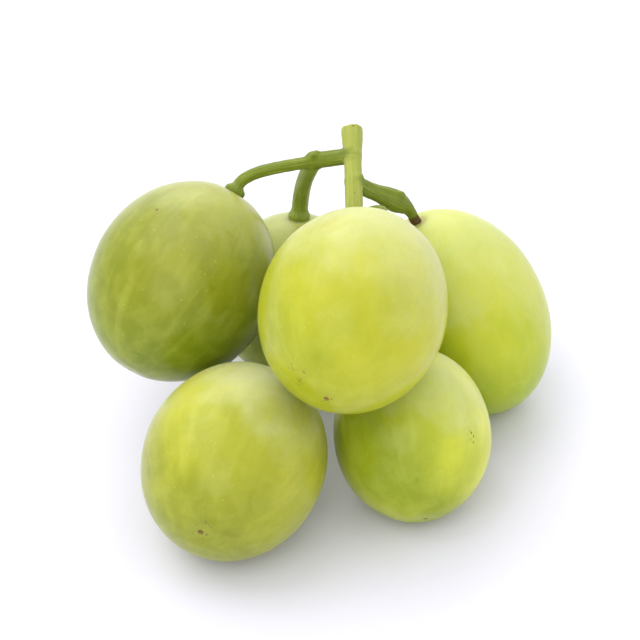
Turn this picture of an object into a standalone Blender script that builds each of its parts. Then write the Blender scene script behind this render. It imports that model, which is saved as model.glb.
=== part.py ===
"""A small bunch of white seedless grapes, lying as it was put down: six berries on one branching stem.

Metres, +Z up. X runs left to right across the bunch and +Y towards its back. The origin is on the
floor, below the middle of the bunch. The berries hang from a hub in the hollow of the bunch: each
one's place follows from its bearing round the hub, how far its pedicel lets it reach, its own size,
and what it rests on, so the sizes below can change without pieces meeting or coming apart.
"""

import math

import bmesh
import bpy
from mathutils import Matrix, Vector

MM = 0.001

# ---------------------------------------------------------------- the berries
# Length is along the berry, from the stem end to the blossom end. Width is across it.
LEFT_LENGTH = 26.2 * MM
LEFT_WIDTH = 23.0 * MM
BACK_LENGTH = 21.4 * MM
BACK_WIDTH = 20.0 * MM
TOP_LENGTH = 26.8 * MM
TOP_WIDTH = 23.4 * MM
RIGHT_LENGTH = 28.4 * MM
RIGHT_WIDTH = 21.0 * MM
FRONT_LEFT_LENGTH = 27.6 * MM
FRONT_LEFT_WIDTH = 22.8 * MM
FRONT_RIGHT_LENGTH = 22.4 * MM
FRONT_RIGHT_WIDTH = 19.6 * MM

# From each berry's stem end to its blossom end.
LEFT_AXIS = Vector((-0.50, -0.61, -0.61)).normalized()
BACK_AXIS = Vector((-0.07, -0.30, -0.95)).normalized()
TOP_AXIS = Vector((-0.25, -0.91, -0.33)).normalized()
RIGHT_AXIS = Vector((0.42, -0.17, -0.89)).normalized()
FRONT_LEFT_AXIS = Vector((-0.30, -0.95, -0.06)).normalized()
FRONT_RIGHT_AXIS = Vector((0.15, -0.80, -0.58)).normalized()

# Bearing round the hub, anticlockwise from +X seen from above, and the reach from the hub to the
# skin that faces it.
LEFT_BEARING = math.radians(170.5)
LEFT_REACH = 9.9 * MM
BACK_BEARING = math.radians(115.3)
BACK_REACH = 7.6 * MM
TOP_BEARING = math.radians(-90.0)
TOP_REACH = 0.1 * MM
RIGHT_BEARING = math.radians(32.6)
RIGHT_REACH = 5.6 * MM
FRONT_LEFT_BEARING = math.radians(231.3)
FRONT_LEFT_REACH = 10.1 * MM
FRONT_RIGHT_BEARING = math.radians(-57.5)
FRONT_RIGHT_REACH = 3.1 * MM

SKIN_GAP = 0.3 * MM  # between two berries that rest on each other
CONTACT_FLAT = 0.1 * MM  # how far the floor flattens the skin below a berry
SHOULDER = 0.02  # how much slimmer a berry is at its stem end
NAVEL_RADIUS = 3.0 * MM  # the dimple where the pedicel enters
NAVEL_DEPTH = 0.35 * MM
SCAR_RADIUS = 1.0 * MM  # the dry point that the flower left
SCAR_DEPTH = 0.15 * MM
BERRY_SIDES = 36
BERRY_RINGS = 20
NAVEL_STEPS = (0.45, 0.8)  # where the rings inside the navel lie, in navel radii
SCAR_STEPS = (1.5, 1.0, 0.4)  # where the rings round the scar lie, in scar radii
SKIN_SHARP = math.radians(24)  # edges sharper than this stay crisp
SKIN_ROUGHNESS = 0.38

# ---------------------------------------------------------------- the stem
# The places of its knuckles, seen from the hub's own place on the floor.
HUB_HEIGHT = 22.0 * MM
CUT_END = Vector((-0.1, 14.8, 38.2)) * MM
LEFT_KNUCKLE = Vector((-0.1, 11.4, 36.4)) * MM
RIGHT_KNUCKLE = Vector((0.2, 8.4, 34.6)) * MM
TOP_KNUCKLE = Vector((0.2, 3.9, 32.1)) * MM
FORK = Vector((-4.7, 14.8, 33.0)) * MM

STALK_WIDTH = 2.2 * MM  # the upright stalk
CUT_WIDTH = 2.7 * MM  # its swollen end, where it was cut
BRANCH_WIDTH = 2.1 * MM  # the side branch to the fork
PEDICEL_WIDTH = 1.5 * MM
SWELLING_WIDTH = 2.9 * MM  # the thick stretch of the right pedicel
NECK_WIDTH = 1.3 * MM  # the thin neck after it
BUD_WIDTH = 1.5 * MM  # the dry stub of a shoot that bore no berry
SEAT_WIDTH = 2.8 * MM  # the disc that carries a berry
SEAT_LENGTH = 1.3 * MM
SEAT_GAP = 0.3 * MM  # between that disc and the berry
KNUCKLE_SWELL = 1.18  # a knuckle's width, in branch widths
KNUCKLE_STRETCH = 1.25  # its length, in its own widths
STEM_SIDES = 12
STEM_STEP = 1.5 * MM  # about how long one stretch of a branch is
FEWEST_STEPS = 5  # however short the branch is
TAIL_STEP = 0.6  # where along its straight tail a branch has one more ring
BUD_WIDTHS = (1.15, 1.0, 0.85, 0.55)  # from its foot to its tip, in bud widths
BUD_FOOT = 0.3  # how deep it is rooted in the branch, in bud widths
BUD_TIP = 0.85  # how far it stands out, in bud widths
STEM_SHARP = math.radians(48)  # edges sharper than this stay crisp
STEM_ROUGHNESS = 0.55
WELD = 0.001 * MM  # points closer than this are one
CUT_WELD = 0.01 * MM  # a floor cut runs through points that are this near
BEND = 0.24  # how far a branch keeps its way at each end, in its own lengths

SKIN_BRIGHT = (0.560, 0.640, 0.075, 1.0)
SKIN_GREEN = (0.440, 0.520, 0.070, 1.0)
SKIN_OLIVE = (0.340, 0.385, 0.065, 1.0)
STEM_GREEN = (0.300, 0.400, 0.050, 1.0)

# The ways in which buds and pedicels leave their knuckles.
FORK_BUD_WAY = Vector((0.1, -0.4, 0.9)).normalized()
LEFT_PEDICEL_WAY = Vector((-0.96, -0.10, -0.26)).normalized()
BACK_PEDICEL_WAY = Vector((-0.42, 0.20, -0.88)).normalized()
TOP_PEDICEL_WAY = Vector((0.80, -0.10, 0.50)).normalized()
RIGHT_PEDICEL_WAY = Vector((0.58, 0.20, -0.79)).normalized()
FRONT_LEFT_PEDICEL_WAY = Vector((-0.60, -0.30, -0.74)).normalized()
FRONT_RIGHT_PEDICEL_WAY = Vector((0.35, -0.20, -0.91)).normalized()
UP = Vector((0.0, 0.0, 1.0))
DOWN = Vector((0.0, 0.0, -1.0))


# ---------------------------------------------------------------- where the berries lie
class Berry:
    """One grape: an oval of its length and width along its axis, at a centre."""

    def __init__(self, name, length, width, axis, skin):
        self.name = name
        self.half_length = length / 2
        self.half_width = width / 2
        self.axis = axis
        self.skin = skin
        self.centre = Vector((0.0, 0.0, 0.0))

    def across(self, way):
        """The point of the skin, seen from the centre, that lies furthest along a way."""
        along = self.half_length**2 - self.half_width**2
        point = way * self.half_width**2 + self.axis * (along * self.axis.dot(way))
        return point / math.sqrt(point.dot(way))

    def half(self, way):
        """Half the berry's thickness along a way."""
        return self.across(way).dot(way)

    def stem_end(self, distance):
        """A point on its axis, this far off the navel."""
        return self.centre - self.axis * (self.half_length - NAVEL_DEPTH + distance)


def gap_between(one, other):
    """The free space between two berries, below zero where they would overlap."""
    between = other.centre - one.centre
    way = between.normalized()
    for _ in range(80):
        push = between - one.across(way) - other.across(-way)
        way = (way * (one.half(way) + other.half(-way)) + push).normalized()
    return between.dot(way) - one.half(way) - other.half(-way)


def slide_clear(berry, way, others, gap):
    """Moves a berry along a way, the shortest that leaves the gap to each of the others."""
    start = berry.centre.copy()

    def clears(distance):
        berry.centre = start + way * distance
        return all(gap_between(berry, other) >= gap for other in others)

    if clears(0.0):
        return
    near = 0.0
    far = berry.half_length
    while not clears(far):
        near = far
        far = far * 2
    for _ in range(40):
        middle = (near + far) / 2
        if clears(middle):
            far = middle
        else:
            near = middle
    berry.centre = start + way * far


def reach_out(berry, bearing, reach):
    """Puts a berry in its bearing round the hub and gives that way back."""
    way = Vector((math.cos(bearing), math.sin(bearing), 0.0))
    berry.centre = way * (reach + berry.half(-way))
    return way


def lay_on_floor(berry, bearing, reach, others):
    """A berry that lies on the floor, clear of those already there."""
    way = reach_out(berry, bearing, reach)
    berry.centre.z = berry.half(DOWN) - CONTACT_FLAT
    slide_clear(berry, way, others, SKIN_GAP)


def lay_on_berries(berry, bearing, reach, others):
    """A berry that rests on others."""
    reach_out(berry, bearing, reach)
    berry.centre.z = berry.half(DOWN)
    slide_clear(berry, UP, others, SKIN_GAP)


def lay_out_berries():
    """All six, each one placed after those that carry it."""
    front_right = Berry(
        "berry_front_right", FRONT_RIGHT_LENGTH, FRONT_RIGHT_WIDTH, FRONT_RIGHT_AXIS, SKIN_GREEN
    )
    front_left = Berry(
        "berry_front_left", FRONT_LEFT_LENGTH, FRONT_LEFT_WIDTH, FRONT_LEFT_AXIS, SKIN_GREEN
    )
    right = Berry("berry_right", RIGHT_LENGTH, RIGHT_WIDTH, RIGHT_AXIS, SKIN_BRIGHT)
    back = Berry("berry_back", BACK_LENGTH, BACK_WIDTH, BACK_AXIS, SKIN_OLIVE)
    top = Berry("berry_top", TOP_LENGTH, TOP_WIDTH, TOP_AXIS, SKIN_BRIGHT)
    left = Berry("berry_left", LEFT_LENGTH, LEFT_WIDTH, LEFT_AXIS, SKIN_OLIVE)

    lay_on_floor(front_right, FRONT_RIGHT_BEARING, FRONT_RIGHT_REACH, [])
    lay_on_floor(front_left, FRONT_LEFT_BEARING, FRONT_LEFT_REACH, [front_right])
    lay_on_floor(right, RIGHT_BEARING, RIGHT_REACH, [front_right])
    lay_on_floor(back, BACK_BEARING, BACK_REACH, [right, front_left])
    lay_on_berries(top, TOP_BEARING, TOP_REACH, [front_left, front_right, right])
    lay_on_berries(left, LEFT_BEARING, LEFT_REACH, [back, front_left, top])
    return left, back, top, right, front_left, front_right


# ---------------------------------------------------------------- making the pieces
def add_material(thing, name, colour, roughness):
    material = bpy.data.materials.new(name)
    material.use_nodes = True
    shader = material.node_tree.nodes["Principled BSDF"]
    shader.inputs["Base Color"].default_value = colour
    shader.inputs["Roughness"].default_value = roughness
    shader.inputs["Metallic"].default_value = 0.0
    material.diffuse_color = colour
    thing.data.materials.append(material)


def add_object(name, mesh, place):
    thing = bpy.data.objects.new(name, mesh)
    bpy.context.scene.collection.objects.link(thing)
    thing.location = place
    return thing


def upright_to(axis):
    """The turn that lays +Z along an axis."""
    return axis.to_track_quat("Z", "Y").to_matrix().to_4x4()


def skin_profile(berry):
    """(radius, height) from the navel at the top down to the scar at the bottom."""
    heights = [math.pi * n / BERRY_RINGS for n in range(2, BERRY_RINGS - 1)]
    navel = [NAVEL_RADIUS * step / berry.half_width for step in NAVEL_STEPS]
    scar = [math.pi - SCAR_RADIUS * step / berry.half_width for step in SCAR_STEPS]
    profile = []
    for angle in navel + heights + scar:
        slimming = 1.0 - SHOULDER * max(math.cos(angle), 0.0)
        radius = berry.half_width * math.sin(angle) * slimming
        height = berry.half_length * math.cos(angle)
        if angle < math.pi / 2 and radius < NAVEL_RADIUS:
            height -= NAVEL_DEPTH * (1.0 - (radius / NAVEL_RADIUS) ** 2)
        if angle == scar[1]:
            height += SCAR_DEPTH
        profile.append((radius, height))
    return profile


def add_berry(berry, shift):
    """The grape as one closed skin, flattened where it lies on the floor."""
    shape = bmesh.new()
    rings = []
    for radius, height in skin_profile(berry):
        ring = bmesh.ops.create_circle(
            shape, segments=BERRY_SIDES, radius=radius, matrix=Matrix.Translation((0, 0, height))
        )
        rings.append(ring["verts"])
    navel = shape.verts.new((0, 0, berry.half_length - NAVEL_DEPTH))
    scar = shape.verts.new((0, 0, -berry.half_length))
    for upper, lower in zip(rings, rings[1:]):
        for n in range(BERRY_SIDES):
            m = (n + 1) % BERRY_SIDES
            shape.faces.new((upper[n], lower[n], lower[m], upper[m]))
    for n in range(BERRY_SIDES):
        m = (n + 1) % BERRY_SIDES
        shape.faces.new((navel, rings[0][n], rings[0][m]))
        shape.faces.new((scar, rings[-1][m], rings[-1][n]))
    bmesh.ops.transform(shape, matrix=upright_to(-berry.axis), verts=shape.verts)

    if berry.centre.z < berry.half(DOWN):
        floor = Vector((0, 0, -berry.centre.z))
        cut = bmesh.ops.bisect_plane(
            shape,
            geom=shape.verts[:] + shape.edges[:] + shape.faces[:],
            dist=CUT_WELD,
            plane_co=floor,
            plane_no=UP,
            clear_inner=True,
        )
        rim = [part for part in cut["geom_cut"] if isinstance(part, bmesh.types.BMEdge)]
        bmesh.ops.edgeloop_fill(shape, edges=rim)
    bmesh.ops.recalc_face_normals(shape, faces=shape.faces)

    mesh = bpy.data.meshes.new(berry.name)
    shape.to_mesh(mesh)
    shape.free()
    mesh.shade_smooth()
    mesh.set_sharp_from_angle(angle=SKIN_SHARP)
    thing = add_object(berry.name, mesh, berry.centre - shift)
    add_material(thing, "skin_" + berry.name, berry.skin, SKIN_ROUGHNESS)
    return thing


# ---------------------------------------------------------------- the stem
def add_branch(start, start_way, end, end_way, widths, tail=0.0):
    """A round branch that leaves one point along a way and arrives at another along a way.

    The tail is how much of it runs straight before the end.
    """
    bend_end = end - end_way * tail
    length = (bend_end - start).length
    a = start + start_way * length * BEND
    b = bend_end - end_way * length * BEND
    count = max(FEWEST_STEPS, round(length / STEM_STEP))
    points = []
    for n in range(count + 1):
        t = n / count
        s = 1.0 - t
        points.append(start * s**3 + a * (3 * s * s * t) + b * (3 * s * t * t) + bend_end * t**3)
    if tail > 0.0:
        points.append(bend_end + end_way * tail * TAIL_STEP)
        points.append(end)
    whole = sum((q - p).length for p, q in zip(points, points[1:]))
    run = 0.0
    sizes = [width_at(widths, 0.0)]
    for p, q in zip(points, points[1:]):
        run += (q - p).length
        sizes.append(width_at(widths, run / whole))
    return add_tube(points, sizes)


def width_at(widths, t):
    """The width at a part of the way along, from (part, width) pairs."""
    for (t0, w0), (t1, w1) in zip(widths, widths[1:]):
        if t <= t1:
            part = (t - t0) / (t1 - t0)
            ease = part * part * (3 - 2 * part)
            return w0 + (w1 - w0) * ease
    return widths[-1][1]


def add_tube(points, widths):
    """A closed round rod through the points, as a bevelled curve with filled ends."""
    curve = bpy.data.curves.new("branch", "CURVE")
    curve.dimensions = "3D"
    curve.bevel_depth = 0.5 * MM
    curve.bevel_resolution = STEM_SIDES // 2 - 2
    curve.use_fill_caps = True
    spline = curve.splines.new("POLY")
    spline.points.add(len(points) - 1)
    for spot, place, width in zip(spline.points, points, widths):
        spot.co = (place.x, place.y, place.z, 1.0)
        spot.radius = width / MM
    rod = bpy.data.objects.new("branch", curve)
    bpy.context.scene.collection.objects.link(rod)
    bpy.context.view_layer.update()
    evaluated = rod.evaluated_get(bpy.context.evaluated_depsgraph_get())
    mesh = bpy.data.meshes.new_from_object(evaluated)
    bpy.data.objects.remove(rod)
    bpy.data.curves.remove(curve)
    shape = bmesh.new()
    shape.from_mesh(mesh)
    bmesh.ops.remove_doubles(shape, verts=shape.verts, dist=WELD)
    bmesh.ops.recalc_face_normals(shape, faces=shape.faces)
    shape.to_mesh(mesh)
    shape.free()
    return add_object("branch", mesh, (0, 0, 0))


def add_knuckle(place, width, way):
    """A rounded swelling where branches part, a little longer than wide."""
    shape = bmesh.new()
    bmesh.ops.create_uvsphere(
        shape, u_segments=STEM_SIDES + 2, v_segments=8, radius=width * KNUCKLE_SWELL / 2
    )
    stretch = Matrix.Diagonal((1.0, 1.0, KNUCKLE_STRETCH, 1.0))
    bmesh.ops.transform(shape, matrix=upright_to(way) @ stretch, verts=shape.verts)
    bmesh.ops.translate(shape, vec=place, verts=shape.verts)
    mesh = bpy.data.meshes.new("knuckle")
    shape.to_mesh(mesh)
    shape.free()
    return add_object("knuckle", mesh, (0, 0, 0))


def add_bud(place, way, width):
    """A dry stub that stands out of a branch."""
    foot = place - way * width * BUD_FOOT
    tip = place + way * width * BUD_TIP
    count = len(BUD_WIDTHS)
    steps = [foot + (tip - foot) * n / (count - 1) for n in range(count)]
    return add_tube(steps, [width * part for part in BUD_WIDTHS])


def add_pedicel(start, way, berry, widths, seat_width):
    """The stalk of one berry, from a knuckle to the disc on the berry's navel."""
    seat = berry.stem_end(SEAT_GAP)
    flare = 1.0 - SEAT_LENGTH / (seat - start).length
    along = [(0.0, widths[0])]
    for n, width in enumerate(widths):
        along.append((flare * (n + 1) / len(widths), width))
    along.append((1.0, seat_width))
    return add_branch(start, way, seat, berry.axis, along, SEAT_LENGTH)


def join_into(stem, pieces):
    """Unites the pieces with the stem, so that it is one closed body."""
    for piece in pieces:
        union = stem.modifiers.new("union", "BOOLEAN")
        union.operation = "UNION"
        union.solver = "EXACT"
        union.object = piece
        bpy.context.view_layer.update()
        evaluated = stem.evaluated_get(bpy.context.evaluated_depsgraph_get())
        mesh = bpy.data.meshes.new_from_object(evaluated)
        stem.modifiers.remove(union)
        stem.data = mesh
        bpy.data.objects.remove(piece)


def add_stem(left, back, top, right, front_left, front_right, shift):
    """The stalk from its cut end down to the hub, with its side branches and pedicels."""
    hub = Vector((0.0, 0.0, HUB_HEIGHT))
    down_stalk = (TOP_KNUCKLE - LEFT_KNUCKLE).normalized()
    to_hub = (hub - TOP_KNUCKLE).normalized()
    to_fork = (FORK - LEFT_KNUCKLE).normalized()

    stalk = add_branch(
        CUT_END,
        down_stalk,
        TOP_KNUCKLE,
        down_stalk,
        [(0.0, CUT_WIDTH), (0.1, CUT_WIDTH), (0.3, STALK_WIDTH), (1.0, STALK_WIDTH)],
    )
    pieces = [
        add_branch(
            TOP_KNUCKLE, down_stalk, hub, to_hub, [(0.0, STALK_WIDTH), (1.0, BRANCH_WIDTH)]
        ),
        add_branch(
            LEFT_KNUCKLE, to_fork, FORK, to_fork, [(0.0, BRANCH_WIDTH), (1.0, BRANCH_WIDTH)]
        ),
        add_knuckle(LEFT_KNUCKLE, STALK_WIDTH, down_stalk),
        add_knuckle(RIGHT_KNUCKLE, STALK_WIDTH, down_stalk),
        add_knuckle(TOP_KNUCKLE, STALK_WIDTH, down_stalk),
        add_knuckle(FORK, BRANCH_WIDTH, to_fork),
        add_knuckle(hub, BRANCH_WIDTH, to_hub),
        add_bud(FORK + UP * BRANCH_WIDTH * 0.5, FORK_BUD_WAY, BUD_WIDTH),
    ]
    thin = [PEDICEL_WIDTH]
    sturdy = [BRANCH_WIDTH]
    swollen = [BRANCH_WIDTH, SWELLING_WIDTH, NECK_WIDTH]
    pieces += [
        add_pedicel(FORK, LEFT_PEDICEL_WAY, left, thin, SEAT_WIDTH),
        add_pedicel(FORK, BACK_PEDICEL_WAY, back, sturdy, SEAT_WIDTH),
        add_pedicel(TOP_KNUCKLE, TOP_PEDICEL_WAY, top, thin, SEAT_WIDTH),
        add_pedicel(RIGHT_KNUCKLE, RIGHT_PEDICEL_WAY, right, swollen, NECK_WIDTH),
        add_pedicel(hub, FRONT_LEFT_PEDICEL_WAY, front_left, thin, SEAT_WIDTH),
        add_pedicel(hub, FRONT_RIGHT_PEDICEL_WAY, front_right, thin, SEAT_WIDTH),
    ]
    join_into(stalk, pieces)
    stalk.name = "stem"
    stalk.data.name = "stem"
    stalk.data.shade_smooth()
    stalk.data.set_sharp_from_angle(angle=STEM_SHARP)
    stalk.location = -shift
    add_material(stalk, "skin_stem", STEM_GREEN, STEM_ROUGHNESS)
    return stalk


def middle_of(berries):
    """The middle of the bunch's floor plan."""
    low = Vector((0.0, 0.0, 0.0))
    high = Vector((0.0, 0.0, 0.0))
    for n, way in enumerate((Vector((1, 0, 0)), Vector((0, 1, 0)))):
        low[n] = min(berry.centre[n] - berry.half(way) for berry in berries)
        high[n] = max(berry.centre[n] + berry.half(way) for berry in berries)
    return (low + high) / 2


def main():
    for thing in list(bpy.data.objects):
        bpy.data.objects.remove(thing)
    berries = lay_out_berries()
    shift = middle_of(berries)
    for berry in berries:
        add_berry(berry, shift)
    add_stem(*berries, shift)


main()
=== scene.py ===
"""A small bunch of white seedless grapes, lying as it was put down: six berries on one branching stem.

Metres, +Z up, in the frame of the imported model. Each berry is copied from one pattern berry, sized,
turned along its own axis and put in the place of its CAD node. The stem is grown branch by branch
from its knuckles to the berries' navels, then run together into one skin.
"""

import math

import bpy
import numpy as np
from bpy.props import FloatProperty, FloatVectorProperty, PointerProperty
from mathutils import Matrix, Vector, kdtree, noise


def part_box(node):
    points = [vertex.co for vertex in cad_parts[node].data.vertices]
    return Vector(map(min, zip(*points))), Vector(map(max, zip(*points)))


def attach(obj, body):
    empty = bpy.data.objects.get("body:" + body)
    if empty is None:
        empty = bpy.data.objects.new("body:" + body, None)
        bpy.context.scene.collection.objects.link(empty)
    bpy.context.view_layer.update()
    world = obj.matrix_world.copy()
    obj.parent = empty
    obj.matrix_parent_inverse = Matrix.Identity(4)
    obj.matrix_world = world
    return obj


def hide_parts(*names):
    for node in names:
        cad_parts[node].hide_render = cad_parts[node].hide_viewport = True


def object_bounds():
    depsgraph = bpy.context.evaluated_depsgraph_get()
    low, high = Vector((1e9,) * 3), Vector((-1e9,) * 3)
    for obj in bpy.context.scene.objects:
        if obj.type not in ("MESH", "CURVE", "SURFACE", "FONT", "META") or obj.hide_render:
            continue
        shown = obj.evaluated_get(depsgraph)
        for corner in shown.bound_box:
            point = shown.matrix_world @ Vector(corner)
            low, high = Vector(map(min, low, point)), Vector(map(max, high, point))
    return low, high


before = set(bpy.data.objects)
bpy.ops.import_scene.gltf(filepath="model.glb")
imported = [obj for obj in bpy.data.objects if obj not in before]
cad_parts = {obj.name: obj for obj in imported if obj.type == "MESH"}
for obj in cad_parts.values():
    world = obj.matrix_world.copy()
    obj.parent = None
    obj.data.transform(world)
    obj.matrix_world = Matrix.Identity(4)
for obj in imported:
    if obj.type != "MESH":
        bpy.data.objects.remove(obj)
CAD_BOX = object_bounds()

bl_info = {
    "name": "Bunch of Grapes",
    "version": (1, 0, 0),
    "blender": (4, 5, 0),
    "location": "View3D > Sidebar > Grapes",
    "description": "Makes a small bunch of white grapes on its stem, and the stage it lies on",
    "category": "Object",
}

MM = 0.001

# ---------------------------------------------------------------- the berries
# Title, length and width in millimetres, the way from the stem end to the blossom end, and the colours
# of the skin on its sun-ripened, lit side and on its shaded side away from it. These colours are partly
# the skin's ripening and partly painted light and painted shade. The left berry's darker colours all
# over are painted shade.
BERRIES = (
    ("left", 26.2, 23.0, (-0.50, -0.61, -0.61), (0.290, 0.300, 0.010), (0.175, 0.225, 0.002)),
    ("back", 21.4, 20.0, (-0.07, -0.30, -0.95), (0.280, 0.305, 0.018), (0.200, 0.240, 0.004)),
    ("top", 26.8, 23.4, (-0.25, -0.91, -0.33), (0.530, 0.520, 0.020), (0.330, 0.365, 0.002)),
    ("right", 28.4, 21.0, (0.42, -0.17, -0.89), (0.570, 0.590, 0.022), (0.310, 0.420, 0.002)),
    ("front_left", 27.6, 22.8, (-0.30, -0.95, -0.06), (0.530, 0.530, 0.028), (0.240, 0.265, 0.003)),
    ("front_right", 22.4, 19.6, (0.15, -0.80, -0.58), (0.680, 0.700, 0.060), (0.270, 0.330, 0.002)),
)
ON_FLOOR = ("back", "right", "front_left", "front_right")
CONTACT_FLAT = 0.1 * MM  # how far the floor flattens the skin below a berry
SMALLEST_BERRY = 5 * MM

BERRY_SIDES = 112
BERRY_RINGS = 72
SHOULDER = 0.02  # how much slimmer a berry is at its stem end
NAVEL_RADIUS = 0.27  # of the berry's half width
NAVEL_DEPTH = 0.35 * MM
SCAR_DEPTH = 0.012  # of the berry's half length

# ---------------------------------------------------------------- the stem
# The places of its knuckles, seen from the hub's own place on the floor.
HUB_HEIGHT = 22.0 * MM
CUT_END = Vector((-0.1, 14.8, 38.2)) * MM
LEFT_KNUCKLE = Vector((-0.1, 11.4, 36.4)) * MM
RIGHT_KNUCKLE = Vector((0.2, 8.4, 34.6)) * MM
TOP_KNUCKLE = Vector((0.2, 3.9, 32.1)) * MM
FORK = Vector((-4.7, 14.8, 33.0)) * MM
BEND = 0.24  # how far a branch keeps its way at each end, in its own lengths

# The ways in which buds and pedicels leave their knuckles.
FORK_BUD_WAY = Vector((0.1, -0.4, 0.9)).normalized()
LEFT_PEDICEL_WAY = Vector((-0.96, -0.10, -0.26)).normalized()
BACK_PEDICEL_WAY = Vector((-0.42, 0.20, -0.88)).normalized()
TOP_PEDICEL_WAY = Vector((0.80, -0.10, 0.50)).normalized()
RIGHT_PEDICEL_WAY = Vector((0.58, 0.20, -0.79)).normalized()
FRONT_LEFT_PEDICEL_WAY = Vector((-0.60, -0.30, -0.74)).normalized()
FRONT_RIGHT_PEDICEL_WAY = Vector((0.35, -0.20, -0.91)).normalized()

STUB_WAY = Vector((0.35, -0.30, 0.88)).normalized()
STUB_PART = 0.30  # where on the right pedicel's centreline its stub stands

DOWN = Vector((0.0, 0.0, -1.0))
UP = Vector((0.0, 0.0, 1.0))


# ---------------------------------------------------------------- settings
def length_property(title, about, default, least=0.0):
    return FloatProperty(
        name=title, description=about, default=default, min=least, unit="LENGTH", subtype="DISTANCE"
    )


def colour_property(title, about, default):
    return FloatVectorProperty(
        name=title, description=about, default=default, min=0.0, max=1.0, subtype="COLOR"
    )


def berry_settings(title, length, width, axis, sunny, shaded):
    """A property group for one berry, with its own sizes and colours as defaults."""
    name = "".join(part.capitalize() for part in title.split("_"))
    props = {
        "length": length_property(
            "Length", "From the stem end to the blossom end", length * MM, SMALLEST_BERRY
        ),
        "width": length_property("Width", "Across the berry", width * MM, SMALLEST_BERRY),
        "axis": FloatVectorProperty(
            name="Axis",
            description="The way from the stem end to the blossom end",
            default=axis,
            subtype="DIRECTION",
        ),
        # The two skin colours are partly ripening and partly painted light and painted shade.
        "sunny": colour_property("Sunny Lit Skin", "The skin where the sun ripened it, painted as lit", sunny),
        "shaded": colour_property("Shaded Skin", "The deeper green on the side away from the sun, partly painted shade", shaded),
    }
    return type("GRAPES_PG_" + name, (bpy.types.PropertyGroup,), {"__annotations__": props})


BERRY_GROUPS = {row[0]: berry_settings(*row) for row in BERRIES}


class GRAPES_PG_stem(bpy.types.PropertyGroup):
    """Sizes and colours of the stem."""

    stalk_width: length_property("Stalk Width", "Across the upright stalk", 2.2 * MM)
    cut_width: length_property(
        "Cut End Width", "Across the swollen end, where the stalk was cut", 2.7 * MM
    )
    branch_width: length_property("Branch Width", "Across the side branch to the fork", 2.1 * MM)
    pedicel_width: length_property("Pedicel Width", "Across the stalk of one berry", 1.5 * MM)
    seat_width: length_property("Seat Width", "Across the disc that carries a berry", 2.8 * MM)
    pale: colour_property("Pale Green", "The upright stalk", (0.370, 0.410, 0.070))
    green: colour_property("Green", "The side branch and the thin pedicels", (0.160, 0.215, 0.006))
    sturdy: colour_property("Sturdy Green", "The sturdy back pedicel", (0.230, 0.300, 0.030))
    cork: colour_property("Cork", "Dry, brown bark at seats, buds and necks", (0.110, 0.062, 0.018))


class GRAPES_PG_stage(bpy.types.PropertyGroup):
    """The floor, the light and the camera."""

    floor_size: length_property("Floor Size", "Along one side of the square floor", 4.0)
    floor_colour: colour_property("Floor Colour", "The pale floor", (0.86, 0.85, 0.96))
    elevation: FloatProperty(
        name="Camera Elevation",
        description="How far above the horizon the camera looks from",
        default=math.radians(38.4),
        subtype="ANGLE",
    )
    distance: length_property("Camera Distance", "From the camera to the bunch", 1.48)
    view_width: length_property(
        "View Width", "How much the frame shows from side to side, at the bunch", 80 * MM
    )


class GRAPES_PG_bunch(bpy.types.PropertyGroup):
    """All settings of the bunch."""

    left: PointerProperty(type=BERRY_GROUPS["left"], name="Left Berry")
    back: PointerProperty(type=BERRY_GROUPS["back"], name="Back Berry")
    top: PointerProperty(type=BERRY_GROUPS["top"], name="Top Berry")
    right: PointerProperty(type=BERRY_GROUPS["right"], name="Right Berry")
    front_left: PointerProperty(type=BERRY_GROUPS["front_left"], name="Front Left Berry")
    front_right: PointerProperty(type=BERRY_GROUPS["front_right"], name="Front Right Berry")
    stem: PointerProperty(type=GRAPES_PG_stem, name="Stem")
    stage: PointerProperty(type=GRAPES_PG_stage, name="Stage")


# ---------------------------------------------------------------- working by hand
def deselect_all():
    for thing in bpy.context.selected_objects:
        thing.select_set(False)


def take_only(thing):
    """Selects one object and makes it the active one."""
    deselect_all()
    thing.select_set(True)
    bpy.context.view_layer.objects.active = thing


def edit(thing):
    """Enters edit mode on one object with nothing selected in it."""
    take_only(thing)
    bpy.ops.object.mode_set(mode="EDIT")
    bpy.ops.mesh.select_mode(type="VERT")
    bpy.ops.mesh.select_all(action="DESELECT")
    bpy.ops.object.mode_set(mode="OBJECT")


def pick_points(thing, wanted):
    """Selects the points whose place passes a test, and opens the mesh for editing."""
    edit(thing)
    for point in thing.data.vertices:
        point.select = wanted(point.co)
    bpy.ops.object.mode_set(mode="EDIT")


def pick_faces(thing, wanted):
    """Selects the faces whose middle passes a test, and opens the mesh for editing."""
    edit(thing)
    for face in thing.data.polygons:
        face.select = wanted(face.center)
    bpy.ops.object.mode_set(mode="EDIT")
    bpy.ops.mesh.select_mode(type="FACE")


def close_edit():
    bpy.ops.object.mode_set(mode="OBJECT")


def apply_modifier(thing, kind, **values):
    """Adds a modifier with these values and applies it."""
    take_only(thing)
    bpy.ops.object.modifier_add(type=kind)
    modifier = thing.modifiers[-1]
    for key, value in values.items():
        setattr(modifier, key, value)
    bpy.ops.object.modifier_apply(modifier=modifier.name)


def settle(thing):
    """Puts an object's place, turn and size into its mesh."""
    take_only(thing)
    bpy.ops.object.transform_apply(location=True, rotation=True, scale=True)


def clouds(name, size, depth):
    texture = bpy.data.textures.new(name, "CLOUDS")
    texture.noise_scale = size
    texture.noise_depth = depth
    return texture


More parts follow.
